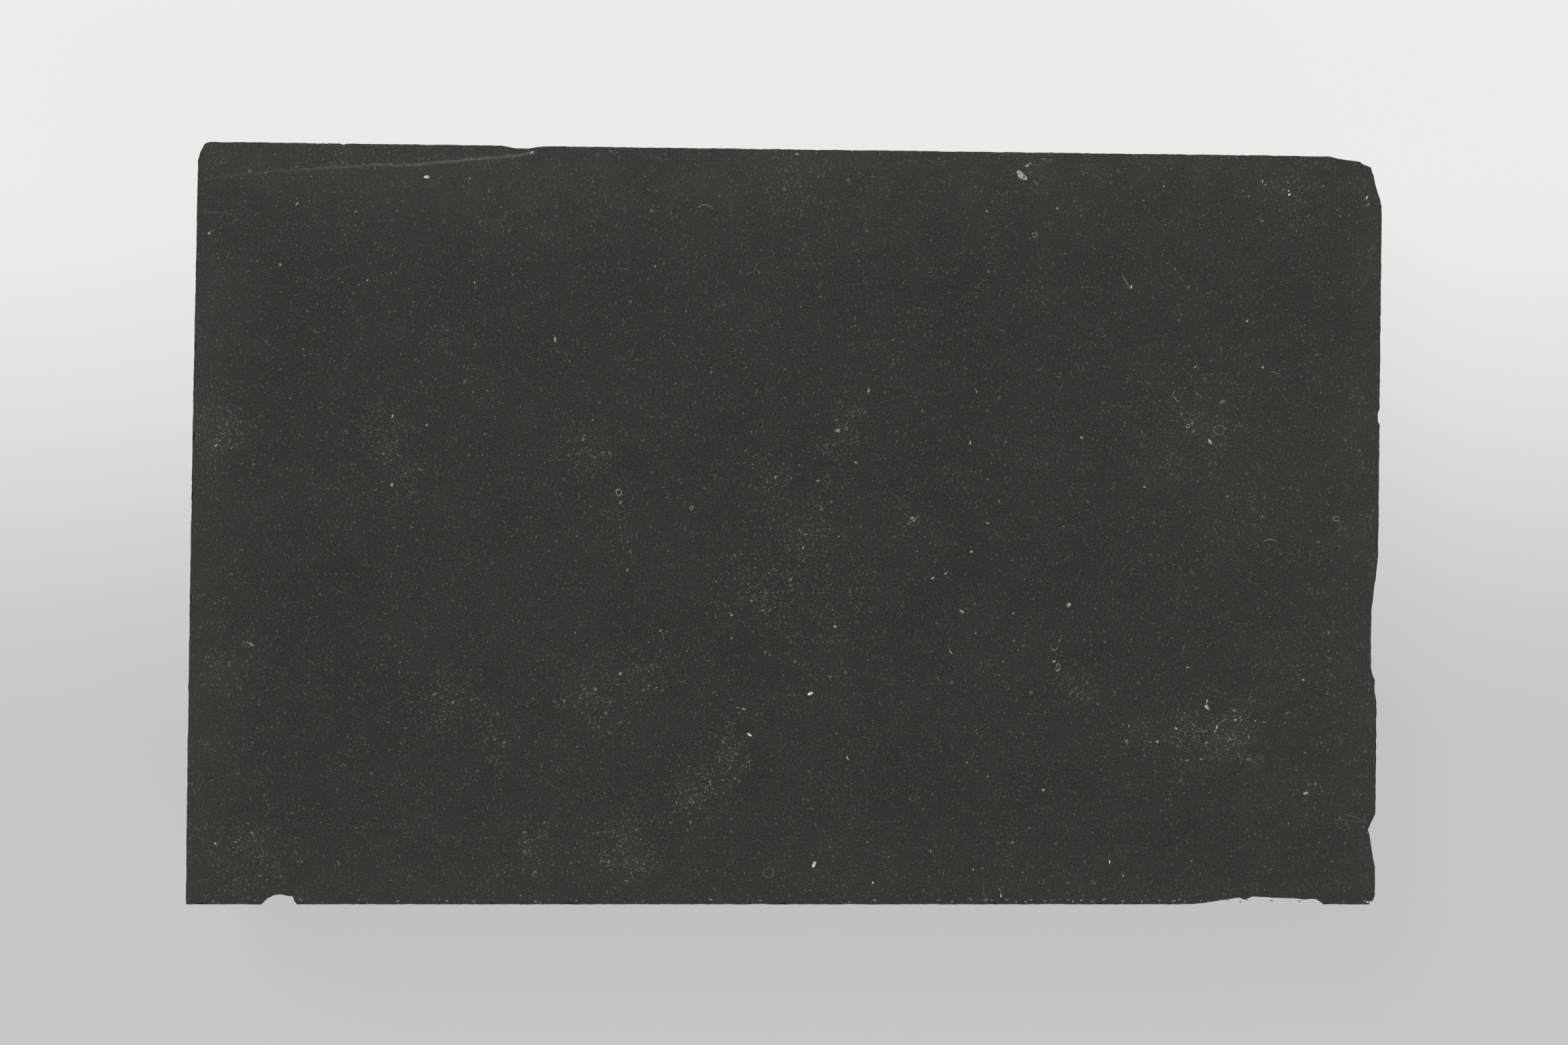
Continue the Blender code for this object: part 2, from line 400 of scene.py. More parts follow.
def mineral(name, bright, dark):
    """A mineral cut and honed with the slab: cloudy, and a little glossier than the basalt."""
    material, tree, shader = new_material(name)
    place = in_millimetres(tree)
    mottled = spread(tree, noise(tree, place, 0.3, detail=2.0), 0.35, 0.62)
    colour = layered(tree, srgb(dark), srgb(bright), mottled)
    tree.links.new(colour, shader.inputs["Base Color"])
    shader.inputs["Roughness"].default_value = 0.5
    shader.inputs["Specular IOR Level"].default_value = 0.3
    return material


# ---------------------------------------------------------------- the slab

def sawn_outline():
    """A plane at the slab's size, lifted to the height of its top, its corners on the saw cuts."""
    bpy.ops.mesh.primitive_plane_add(size=1.0, location=(0.0, 0.0, 0.0))
    slab = bpy.context.object
    slab.name = "stone_slab"
    slab.scale = (LENGTH, WIDTH, 1.0)
    slab.location = (SLAB_LOW + SLAB_HIGH) / 2
    bpy.ops.object.transform_apply(location=False, rotation=False, scale=True)
    bpy.ops.object.mode_set(mode="EDIT")
    moves = {
        (1, -1): (-RIGHT_EDGE_LEAN, 0.0),
        (1, 1): (0.0, -BACK_EDGE_DROP),
        (-1, 1): (LEFT_EDGE_LEAN, 0.0),
        (-1, -1): (0.0, 0.0),
    }
    for (side_x, side_y), (move_x, move_y) in moves.items():
        select_vertices(slab, lambda co: co.x * side_x > 0 and co.y * side_y > 0 and co.z == 0)
        bpy.ops.transform.translate(value=(move_x, move_y, THICKNESS / 2))
    return slab


def subdivide_runs(slab, along_x, longer_than, cuts):
    """Cut the edges that run round the slab, on the two long sides or the two short ones."""
    bpy.ops.mesh.select_mode(type="EDGE")
    bpy.ops.mesh.select_all(action="DESELECT")
    shell = bmesh.from_edit_mesh(slab.data)
    for edge in shell.edges:
        run = edge.verts[1].co - edge.verts[0].co
        edge.select = run.length > longer_than and (abs(run.x) > abs(run.y)) == along_x
    bmesh.update_edit_mesh(slab.data)
    bpy.ops.mesh.subdivide(number_cuts=cuts)


def bow_left_edge(slab):
    """Move the left edge out into its slight bow, and the rings beside it less and less."""
    reach = 5.0 * MM
    shell = bmesh.from_edit_mesh(slab.data)
    for vertex in shell.verts:
        up = (vertex.co.y + WIDTH / 2) / WIDTH
        depth = vertex.co.x + LENGTH / 2 - LEFT_EDGE_LEAN * up
        if depth < reach:
            vertex.co.x -= LEFT_EDGE_BOW * math.sin(math.pi * up) * (1 - depth / reach)
    bmesh.update_edit_mesh(slab.data)


def sawn_block():
    """The block: rings drawn in from the outline, rows drawn down to the middle, and a mirror."""
    slab = sawn_outline()
    bpy.ops.mesh.select_mode(type="FACE")
    bpy.ops.mesh.select_all(action="SELECT")
    for step in RING_STEPS:
        bpy.ops.mesh.inset(thickness=step, use_even_offset=True)
    select_open_edge()
    for step in ROW_STEPS:
        bpy.ops.mesh.extrude_edges_move(TRANSFORM_OT_translate={"value": (0.0, 0.0, -step)})
    left_over = THICKNESS / 2 - sum(ROW_STEPS)
    bpy.ops.transform.translate(value=(0.0, 0.0, -left_over))

    # The middle of the face stays one flat polygon, so it is taken out while the edges are cut.
    select_big_faces(slab)
    bpy.ops.mesh.delete(type="ONLY_FACE")
    for along_x, length in ((True, LENGTH), (False, WIDTH)):
        subdivide_runs(slab, along_x, length / 2, FIRST_CUTS)
        part = length / (FIRST_CUTS + 1)
        subdivide_runs(slab, along_x, part / 2, round(part / OUTLINE_STEP))
    bow_left_edge(slab)
    select_open_edge()
    shell = bmesh.from_edit_mesh(slab.data)
    for edge in shell.edges:
        if edge.verts[0].co.z < THICKNESS / 4:
            edge.select = False
    bmesh.update_edit_mesh(slab.data)
    bpy.ops.mesh.edge_face_add()

    bpy.ops.mesh.select_all(action="DESELECT")
    shell = bmesh.from_edit_mesh(slab.data)
    for edge in shell.edges:
        flat = [face for face in edge.link_faces if abs(face.normal.z) > 0.5]
        edge.select = len(flat) == 1 and len(edge.link_faces) == 2
    bmesh.update_edit_mesh(slab.data)
    bpy.ops.mesh.bevel(offset=ARRIS_WIDTH, segments=2, affect="EDGES")
    bpy.ops.object.mode_set(mode="OBJECT")
    apply_modifier(slab, "MIRROR", "lower_half", use_axis=(False, False, True),
                   merge_threshold=0.00001)
    bpy.ops.object.transform_apply(location=True, rotation=False, scale=False)
    return slab


def clouds_texture(name, size, depth):
    texture = bpy.data.textures.new(name, "CLOUDS")
    texture.noise_scale = size
    texture.noise_depth = depth
    return texture


# Each side: its corners, its axis, which way is in, and how much of the relief stands out.
SIDES = {
    "front": (("front_left", "front_right"), "Y", 1, 1.2),
    "right": (("front_right", "back_right"), "X", -1, 0.85),
    "back": (("back_right", "back_left"), "Y", -1, 0.6),
    "left": (("back_left", "front_left"), "X", 1, 0.85),
}


def roughen_sides(slab):
    """Sawing leaves the sides and arrises slightly uneven."""
    reach = 1.5 * MM
    waver = clouds_texture("saw_waver", 2.4 * MM, 2)
    pluck = clouds_texture("plucked_grains", 0.5 * MM, 1)
    for side, ((start, end), axis, sign, outwards) in SIDES.items():
        group = slab.vertex_groups.new(name=side)
        first = CORNERS[start]
        run = (CORNERS[end] - first).normalized()
        inward = Vector((-run.y, run.x))
        for vertex in slab.data.vertices:
            depth = (vertex.co.xy - first).dot(inward)
            if depth < reach:
                group.add([vertex.index], (1 - max(depth, 0.0) / reach) ** 2, "REPLACE")
        for texture, strength in ((waver, 0.12 * MM), (pluck, 0.09 * MM)):
            apply_modifier(slab, "DISPLACE", side + "_" + texture.name, texture=texture,
                           texture_coords="LOCAL", direction=axis, strength=sign * strength,
                           mid_level=outwards, vertex_group=side)


# Flakes off the upper arris of one edge. A profile is (distance along the edge from the named
# corner, depth into the honed face) in millimetres.
EDGE_FLAKES = {
    "front_bite": {
        "corner": "front_left", "towards": "front_right",
        "profile": ((9.8, 0), (10.5, 0.63), (11.3, 1.05), (12.3, 1.18), (13.2, 0.98), (13.85, 0.9),
                    (14.0, 0.3), (14.35, 0)),
    },
    "front_long_flake": {
        "corner": "front_right", "towards": "front_left",
        "profile": ((6.6, 0), (7.4, 0.5), (8.1, 0.6), (9.1, 0.5), (10.6, 0.69), (13.2, 0.74),
                    (15.8, 0.87), (16.85, 0.48), (17.4, 0.73), (17.9, 0.75), (19.0, 0.52),
                    (21.0, 0.23), (23.4, 0)),
    },
    "right_notch": {
        "corner": "front_right", "towards": "back_right",
        "profile": ((4.6, 0), (6.1, 0.28), (7.7, 0.5), (8.7, 0.68), (9.55, 0.92), (10.85, 0.32),
                    (11.8, 0)),
    },
    "right_long_flake": {
        "corner": "front_right", "towards": "back_right",
        "profile": ((25.8, 0), (27.4, 0.3), (28.9, 0.26), (29.6, 0.57), (30.6, 0.75), (34.6, 0.82),
                    (38.0, 0.73), (40.8, 0.46), (42.4, 0.24), (45.5, 0)),
    },
    "right_nick": {
        "corner": "front_right", "towards": "back_right",
        "profile": ((61.9, 0), (62.5, 0.16), (63.6, 0.18), (64.3, 0)),
    },
    "back_flake": {
        "corner": "back_left", "towards": "back_right",
        "profile": ((38.6, 0), (40.1, 0.17), (41.2, 0.35), (42.8, 0.35), (43.8, 0.12), (45.9, 0)),
    },
    "back_nick": {
        "corner": "back_left", "towards": "back_right",
        "profile": ((18.2, 0), (18.6, 0.13), (18.9, 0.12), (19.3, 0)),
    },
}

# Flakes off a corner. A profile is (distance from the corner along the first edge, distance along
# the second edge) in millimetres, from the first edge round to the second.
CORNER_FLAKES = {
    "back_right_break": {
        "corner": "back_right", "towards": ("back_left", "front_right"),
        "profile": ((7.2, 0), (5.6, 0.3), (2.85, 0.68), (2.45, 1.0), (1.45, 1.38), (1.05, 2.4),
                    (0.85, 3.5), (0.55, 4.5), (0.2, 5.5), (0, 6.8)),
    },
    "back_left_wear": {
        "corner": "back_left", "towards": ("back_right", "front_left"),
        "profile": ((1.8, 0), (1.1, 0.1), (0.76, 0.3), (0.4, 1.0), (0.18, 1.5), (0, 2.6)),
    },
    "front_right_wear": {
        "corner": "front_right", "towards": ("front_left", "back_right"),
        "profile": ((0.75, 0), (0.35, 0.15), (0.15, 0.45), (0, 1.1)),
    },
}
PROFILE_STEP = 0.25 * MM
PROFILE_OVERSHOOT = 0.1 * MM
CUTTER_REACH = 1.2 * MM
CUTTER_ABOVE = 0.3 * MM
CUTTER_DEPTH = 12.0 * MM
CUTTER_STEPS = 28


def edge_flake_outline(flake):
    corner = CORNERS[flake["corner"]]
    along = (CORNERS[flake["towards"]] - corner).normalized()
    inward = Vector((-along.y, along.x))
    if inward.dot(-corner) < 0:
        inward = -inward
    profile = flake["profile"]
    outline = []
    for distance, depth in profile:
        inset = depth * MM if depth > 0 else -PROFILE_OVERSHOOT
        outline.append(corner + along * distance * MM + inward * inset)
    outline.append(corner + along * profile[-1][0] * MM - inward * CUTTER_REACH)
    outline.append(corner + along * profile[0][0] * MM - inward * CUTTER_REACH)
    return outline


def corner_flake_outline(flake):
    corner = CORNERS[flake["corner"]]
    first = (CORNERS[flake["towards"][0]] - corner).normalized()
    second = (CORNERS[flake["towards"][1]] - corner).normalized()
    profile = flake["profile"]
    outline = []
    for across, down in profile:
        across = across * MM if across > 0 else -PROFILE_OVERSHOOT
        down = down * MM if down > 0 else -PROFILE_OVERSHOOT
        outline.append(corner + first * across + second * down)
    outline.append(corner - first * CUTTER_REACH + second * profile[-1][1] * MM)
    outline.append(corner - first * CUTTER_REACH - second * CUTTER_REACH)
    outline.append(corner + first * profile[0][0] * MM - second * CUTTER_REACH)
    return outline


def finely(outline, step):
    """The closed outline with points no further apart than the step."""
    points = []
    for here, there in zip(outline, outline[1:] + outline[:1]):
        count = max(1, math.ceil((there - here).length / step))
        points += [here.lerp(there, index / count) for index in range(count)]
    return points


def flake_cutter(name, outline):
    """A circle with its points moved to the outline, drawn down in steps that spread outwards."""
    points = finely(outline, PROFILE_STEP)
    bpy.ops.mesh.primitive_circle_add(vertices=len(points), fill_type="NGON")
    cutter = bpy.context.object
    cutter.name = name
    for vertex, point in zip(cutter.data.vertices, points):
        vertex.co = (point.x, point.y, TOP + CUTTER_ABOVE)
    bpy.ops.object.mode_set(mode="EDIT")
    bpy.ops.mesh.select_mode(type="FACE")
    bpy.ops.mesh.select_all(action="SELECT")
    drop = CUTTER_DEPTH / CUTTER_STEPS
    spreads = [1 + (index * drop - CUTTER_ABOVE) / SCAR_APEX_HEIGHT
               for index in range(CUTTER_STEPS + 1)]
    bpy.ops.transform.resize(value=(spreads[0], spreads[0], 1.0), center_override=(0, 0, 0))
    for before, after in zip(spreads, spreads[1:]):
        bpy.ops.mesh.extrude_region_move(TRANSFORM_OT_translate={"value": (0.0, 0.0, -drop)})
        grow = after / before
        bpy.ops.transform.resize(value=(grow, grow, 1.0), center_override=(0, 0, 0))
    bpy.ops.mesh.select_all(action="SELECT")
    bpy.ops.mesh.normals_make_consistent(inside=False)
    bpy.ops.object.mode_set(mode="OBJECT")
    return cutter


def ripple(cutter):
    """Broken basalt is rippled and finely uneven, not flat."""
    for name, size, height in (("ripples", 1.6 * MM, 0.16 * MM), ("hackle", 0.45 * MM, 0.07 * MM)):
        apply_modifier(cutter, "DISPLACE", name, texture=clouds_texture(name, size, 1),
                       texture_coords="LOCAL", direction="NORMAL", strength=height,
                       mid_level=0.5)


def nick(place, turn, half_sizes):
    """A rough pebble of a cutter for one small nick on an arris."""
    bpy.ops.mesh.primitive_ico_sphere_add(subdivisions=2, radius=1.0)
    cutter = bpy.context.object
    for vertex in cutter.data.vertices:
        vertex.co *= RNG.uniform(0.82, 1.12)
    cutter.scale = half_sizes
    cutter.rotation_euler = (RNG.uniform(-0.2, 0.2), RNG.uniform(-0.2, 0.2), turn)
    cutter.location = place
    bpy.ops.object.transform_apply(location=True, rotation=True, scale=True)
    return cutter


# The nicks along the upper and the lower arrises, and down the four upright ones. All are limits
# in mm: the gaps between nicks, then their half length, half depth and half height.
NICKS_ABOVE = ((3.0, 16.0), (0.2, 0.9), (0.05, 0.12), (0.1, 0.4))
NICKS_BELOW = ((1.5, 8.0), (0.2, 1.3), (0.12, 0.45), (0.12, 0.5))
NICKS_UPRIGHT = ((2.0, 9.0), (0.1, 0.4), (0.1, 0.3), (0.2, 1.8))
NICK_MARGIN = 2.0 * MM


def arris_nicks():
    """Small nicks all along the arrises: few and shallow on the upper ones, more below."""
    cutters = []
    for height, (gaps, *limits_of_size) in ((TOP, NICKS_ABOVE), (SLAB_LOW.z, NICKS_BELOW)):
        for (start, end), *_ in SIDES.values():
            run = CORNERS[end] - CORNERS[start]
            turn = math.atan2(run.y, run.x)
            along = NICK_MARGIN
            while along < run.length - NICK_MARGIN:
                spot = CORNERS[start] + run.normalized() * along
                sizes = [RNG.uniform(*limits) * MM for limits in limits_of_size]
                cutters.append(nick((spot.x, spot.y, height), turn, sizes))
                along += RNG.uniform(*gaps) * MM + 2 * sizes[0]
    gaps, *limits_of_size = NICKS_UPRIGHT
    for corner in CORNERS.values():
        height = RNG.uniform(1.0, 5.0) * MM
        while height < THICKNESS - 1.5 * NICK_MARGIN:
            sizes = [RNG.uniform(*limits) * MM for limits in limits_of_size]
            cutters.append(nick((corner.x, corner.y, height), RNG.uniform(0, math.pi), sizes))
            height += RNG.uniform(*gaps) * MM
    return joined(cutters, "nicks")


def cut_away(slab, cutter):
    apply_modifier(slab, "BOOLEAN", cutter.name, operation="DIFFERENCE", solver="EXACT",
                   object=cutter)
    bpy.data.objects.remove(cutter, do_unlink=True)


def into_triangles(slab):
    """Fan the two big flat faces out from their middles, and cut the rest into even triangles."""
    bpy.ops.object.mode_set(mode="EDIT")
    select_big_faces(slab)
    bpy.ops.mesh.poke()
    bpy.ops.mesh.select_all(action="SELECT")
    bpy.ops.mesh.quads_convert_to_tris(quad_method="BEAUTY", ngon_method="BEAUTY")
    bpy.ops.object.mode_set(mode="OBJECT")


def stone_slab():
    slab = sawn_block()
    roughen_sides(slab)
    cut_away(slab, arris_nicks())
    cutters = [flake_cutter(name, edge_flake_outline(flake)) for name, flake in EDGE_FLAKES.items()]
    cutters += [flake_cutter(name, corner_flake_outline(flake))
                for name, flake in CORNER_FLAKES.items()]
    flakes = joined(cutters, "flakes")
    ripple(flakes)
    cut_away(slab, flakes)
    make_active(slab)
    bpy.ops.object.shade_smooth_by_angle(angle=SMOOTH_BELOW)
    into_triangles(slab)
    slab.data.materials.append(honed_basalt())
    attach(slab, "root")
    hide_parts("basalt_slab")
    return slab


# ---------------------------------------------------------------- minerals in the honed face

# All places and sizes are millimetres on the honed face, seen from above, and turns are degrees.
# A grain stands this far out of the face and reaches this far into it.
PROUD = 0.02
SUNK = 0.08

# Filled pores and large crystals: x, y, length, breadth, turn.
WHITE_GRAINS = (
    (3.3, -22.2, 0.45, 0.4, 20), (3.6, -22.1, 0.4, 0.4, 0), (3.9, -44.3, 0.85, 0.4, 65),
    (-46.4, 44.8, 0.5, 0.38, 0), (-4.55, -27.4, 0.6, 0.2, -30), (-4.4, -27.6, 0.55, 0.22, -20),
    (65.5, 42.5, 0.35, 0.3, 30), (65.4, 43.0, 0.22, 0.2, 0), (11.5, -46.7, 0.3, 0.2, 80),
    (42.2, -44.0, 0.5, 0.18, 85), (-32.6, 48.0, 0.34, 0.3, 0), (45.0, 30.5, 0.45, 0.22, 80),
    (75.6, -49.2, 0.35, 0.2, 10), (76.0, -49.2, 0.4, 0.25, -10), (28.1, -48.4, 0.4, 0.16, 85),
)
CREAM_GRAINS = (
    (30.8, 45.0, 1.3, 0.75, -45), (31.2, 44.7, 0.8, 0.5, -30), (30.4, 45.4, 0.5, 0.45, -70),
    (54.8, -23.9, 0.75, 0.55, -50), (54.8, -23.2, 0.6, 0.14, 75), (-46.1, 44.8, 0.4, 0.4, 10),
    (56.1, -26.5, 0.65, 0.24, 70), (31.5, 46.25, 0.5, 0.3, 30), (67.6, -35.1, 0.75, 0.36, 30),
    (75.5, 42.1, 0.6, 0.2, 62), (75.7, 41.2, 0.5, 0.14, 66), (-69.0, -15.8, 0.55, 0.3, -40),
    (24.3, -3.8, 0.38, 0.25, 10), (58.5, -25.6, 0.4, 0.25, 20),
)
GREY_GRAINS = (
    (36.9, -10.7, 0.7, 0.5, 60), (7.0, 11.9, 0.65, 0.45, -20), (23.1, -11.6, 0.6, 0.32, -35),
    (-5.2, -24.2, 0.5, 0.25, -20), (-6.0, -24.0, 0.25, 0.2, 0), (-16.0, -14.0, 0.35, 0.25, 10),
    (-21.2, -19.6, 0.45, 0.3, 40), (-50.8, 4.9, 0.5, 0.34, 70), (-21.2, 2.6, 0.5, 0.17, 60),
    (48.4, -28.4, 0.45, 0.25, 50), (19.3, -7.2, 0.5, 0.2, 40), (6.6, -13.5, 0.4, 0.3, 0),
    (-63.1, 41.3, 0.55, 0.2, 50), (4.4, 5.4, 0.45, 0.22, 10), (21.0, -6.6, 0.5, 0.2, 35),
    (-1.1, 5.9, 0.45, 0.22, 60), (67.3, -20.4, 0.35, 0.25, 0), (60.0, 26.1, 0.4, 0.22, 30),
    (52.3, -18.8, 0.3, 0.22, 0), (38.6, 11.0, 0.4, 0.34, 0), (2.5, -3.3, 0.4, 0.25, 50),
    (-65.3, 33.4, 0.5, 0.28, 80), (62.0, 20.1, 0.4, 0.24, 20), (26.4, -0.1, 0.4, 0.2, 0),
    (35.7, -15.4, 0.45, 0.14, 85), (-6.8, -12.0, 0.4, 0.25, 30), (-73.7, -41.6, 0.35, 0.3, 0),
    (27.9, 2.8, 0.4, 0.15, 80), (9.3, 7.8, 0.45, 0.25, -20), (62.0, 44.2, 0.5, 0.16, 80),
    (33.6, -34.7, 0.4, 0.3, 0), (50.8, -26.7, 0.5, 0.3, -30), (53.3, 20.2, 0.4, 0.2, 50),
    (-20.3, -6.2, 0.45, 0.22, 60), (52.9, 12.9, 0.45, 0.2, 60), (51.5, 14.1, 0.28, 0.26, 0),
    (-9.6, -33.6, 0.35, 0.2, 50), (-73.6, 10.0, 0.4, 0.25, 40), (35.0, -18.0, 0.45, 0.22, 20),
    (68.9, -33.9, 0.3, 0.2, 50), (-55.5, 40.3, 0.3, 0.18, 40), (-40.1, 31.1, 0.35, 0.18, 80),
    (-54.0, 31.4, 0.35, 0.15, 45), (-55.1, 30.8, 0.3, 0.15, 30), (-16.7, 33.2, 0.3, 0.22, 0),
    (-40.7, 44.6, 0.28, 0.18, 70), (-46.3, 12.6, 0.35, 0.2, 75), (-24.8, 13.3, 0.25, 0.2, 20),
    (-6.8, -15.0, 0.3, 0.18, 50), (1.4, -18.0, 0.3, 0.2, 30), (6.0, -20.0, 0.3, 0.18, 10),
    (29.8, -15.3, 0.32, 0.18, 60), (29.7, -11.8, 0.25, 0.18, 0), (28.4, -18.0, 0.25, 0.2, 40),
    (46.7, 4.6, 0.3, 0.2, 20), (57.5, 3.4, 0.35, 0.15, 10), (26.4, 5.6, 0.28, 0.16, 80),
    (61.1, -25.7, 0.28, 0.2, 30), (44.7, -26.4, 0.3, 0.16, 60), (26.4, -32.9, 0.35, 0.2, 70),
    (23.7, -31.1, 0.25, 0.18, 0), (31.8, -39.6, 0.25, 0.16, 40), (19.0, -42.6, 0.3, 0.18, 80),
    (44.0, -45.8, 0.32, 0.18, 50), (24.5, -45.0, 0.4, 0.15, 75),
    (16.6, 0.6, 0.55, 0.3, 30), (16.9, 0.3, 0.35, 0.2, 60), (62.4, 43.8, 0.3, 0.2, 0),
)

# Pores with a mineral lining, cut across: x, y, length, breadth, turn, width of the lining.
LINED_PORES = (
    (-21.4, 3.9, 0.85, 0.68, 100, 0.2), (56.4, 12.0, 1.35, 1.25, 0, 0.07),
    (52.4, 12.5, 0.5, 0.42, 30, 0.12), (35.5, -18.8, 0.95, 0.5, 80, 0.2),
    (32.5, 37.3, 0.62, 0.6, 0, 0.1), (-2.0, -45.4, 1.4, 1.2, 0, 0.07),
    (68.6, -19.0, 1.1, 1.0, 0, 0.04), (8.0, 12.2, 0.42, 0.36, 0, 0.11),
    (-12.0, 1.9, 0.5, 0.38, 70, 0.12),
)

# Fine veinlets: their width, and five points that they run past.
VEINLETS = (
    (0.13, (-11.1, 40.8), (-10.75, 41.15), (-10.4, 41.5), (-9.7, 41.15), (-9.2, 40.65)),
    (0.13, (43.8, 32.0), (44.2, 31.5), (44.5, 31.1), (44.65, 30.7), (44.75, 30.3)),
    (0.11, (50.7, 17.1), (50.2, 16.7), (50.4, 16.2), (50.9, 15.8), (51.2, 15.6)),
    (0.12, (62.1, -2.5), (62.5, -2.2), (62.9, -2.1), (63.3, -2.2), (63.8, -2.4)),
    (0.12, (2.0, -0.8), (2.0, -1.3), (2.3, -1.55), (2.7, -1.6), (3.1, -1.5)),
    (0.12, (16.0, -0.1), (16.5, 0.0), (16.8, 0.2), (17.1, 0.5), (17.5, 0.9)),
    (0.15, (71.4, 0.7), (70.95, 0.5), (71.1, 0.15), (71.6, 0.05), (72.05, 0.35)),
    (0.1, (71.3, 0.72), (71.5, 0.75), (71.75, 0.78), (71.95, 0.7), (72.1, 0.6)),
    (0.13, (27.8, -47.4), (28.0, -47.6), (28.1, -47.9), (28.15, -48.2), (28.2, -48.5)),
    (0.2, (-69.7, -15.5), (-69.4, -15.7), (-69.1, -15.6), (-68.9, -15.8), (-68.7, -16.0)),
    (0.1, (56.2, -26.2), (56.5, -25.9), (56.8, -25.8), (57.1, -25.6), (57.4, -25.4)),
    (0.11, (63.1, 19.5), (63.3, 19.7), (63.6, 19.5), (63.8, 19.2), (64.1, 19.3)),
    (0.11, (34.6, -16.2), (34.8, -16.6), (35.1, -16.7), (35.4, -16.5), (35.4, -16.1)),
)
# Fainter ones, deeper in the stone.
FAINT_VEINLETS = (
    (0.1, (25.9, -46.7), (25.85, -47.2), (25.9, -47.8), (25.95, -48.4), (25.9, -49.0)),
    (0.1, (-75.2, 40.0), (-74.3, 40.25), (-73.3, 40.3), (-72.3, 40.2), (-71.4, 39.9)),
    (0.12, (71.3, -38.5), (72.4, -38.6), (73.5, -38.65), (74.5, -38.7), (75.3, -38.9)),
    (0.1, (72.6, -37.8), (73.3, -38.0), (74.0, -38.2), (74.7, -38.4), (75.4, -38.7)),
    (0.08, (63.6, 17.7), (64.2, 17.2), (64.6, 16.5), (64.9, 15.8), (65.4, 15.4)),
    (0.11, (51.1, 15.6), (51.4, 15.8), (51.6, 16.1), (51.55, 16.6), (51.5, 16.9)),
    (0.11, (15.9, -0.2), (16.3, -0.35), (16.7, -0.4), (17.0, -0.35), (17.2, -0.4)),
)


def grain(x, y, length, breadth, turn):
    """One grain cut flush by the honing: an uneven flat disc with an eased rim."""
    bpy.ops.mesh.primitive_circle_add(vertices=9, radius=0.5, fill_type="NGON")
    piece = bpy.context.object
    for vertex in piece.data.vertices:
        vertex.co *= RNG.uniform(0.75, 1.2)
    piece.scale = (length * MM, breadth * MM, 1.0)
    piece.rotation_euler = (0.0, 0.0, math.radians(turn))
    piece.location = (x * MM, y * MM, TOP - SUNK * MM)
    bpy.ops.object.transform_apply(location=True, rotation=True, scale=True)
    bpy.ops.object.mode_set(mode="EDIT")
    bpy.ops.mesh.select_all(action="SELECT")
    bpy.ops.mesh.extrude_region_move(
        TRANSFORM_OT_translate={"value": (0.0, 0.0, (SUNK + 0.4 * PROUD) * MM)})
    bpy.ops.mesh.inset(thickness=0.15 * breadth * MM, depth=0.6 * PROUD * MM)
    bpy.ops.mesh.select_all(action="SELECT")
    bpy.ops.mesh.normals_make_consistent(inside=False)
    bpy.ops.object.mode_set(mode="OBJECT")
    return piece


def lined_pore(x, y, length, breadth, turn, lining):
    """The lining of a pore, cut across: an uneven ring, half sunk in the honed face."""
    bpy.ops.mesh.primitive_torus_add(major_segments=20, minor_segments=6,
                                     major_radius=0.5, minor_radius=lining / 2 / length)
    piece = bpy.context.object
    swing = RNG.uniform(0.0, 2 * math.pi)
    for vertex in piece.data.vertices:
        angle = math.atan2(vertex.co.y, vertex.co.x)
        vertex.co.xy *= 1 + 0.07 * math.sin(3 * angle + swing) + RNG.uniform(-0.015, 0.015)
    piece.scale = (length * MM, breadth * MM, 0.5 * length * MM)
    piece.rotation_euler = (0.0, 0.0, math.radians(turn))
    piece.location = (x * MM, y * MM, TOP - 0.01 * MM)
    bpy.ops.object.transform_apply(location=True, rotation=True, scale=True)
    return piece


def arris_bruises():
    """Pale crushed spots along the front arris, thickest right of the middle."""
    pieces = []
    for first, last, gap in ((-74.0, 20.0, 6.0), (20.0, 60.0, 1.6), (60.0, 76.0, 4.0)):
        x = first
        while x < last:
            y = SLAB_LOW.y / MM + RNG.uniform(0.2, 0.5)
            pieces.append(grain(x, y, RNG.uniform(0.2, 0.5), RNG.uniform(0.15, 0.25),
                                RNG.uniform(-40.0, 40.0)))
            x += RNG.uniform(0.4, 1.6) * gap
    return pieces


def veinlet(width, *points):
    """A fine curved thread of mineral, half sunk in the honed face."""
    bpy.ops.curve.primitive_nurbs_path_add()
    path = bpy.context.object
    for point, (x, y) in zip(path.data.splines[0].points, points):
        point.co = (x * MM, y * MM, TOP - 0.25 * width * MM, 1.0)
    path.data.resolution_u = 3
    path.data.bevel_depth = width / 2 * MM
    path.data.bevel_resolution = 1
    path.data.use_fill_caps = True
    bpy.ops.object.convert(target="MESH")
    return bpy.context.object


def inlay(name, pieces, material):
    """Join small pieces into one that rides with the slab."""
    whole = joined(pieces, name)
    make_active(whole)
    bpy.ops.object.transform_apply(location=True, rotation=True, scale=True)
    bpy.ops.object.shade_smooth_by_angle(angle=SMOOTH_BELOW)
    whole.data.materials.clear()
    whole.data.materials.append(material)
    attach(whole, "root")
    return whole


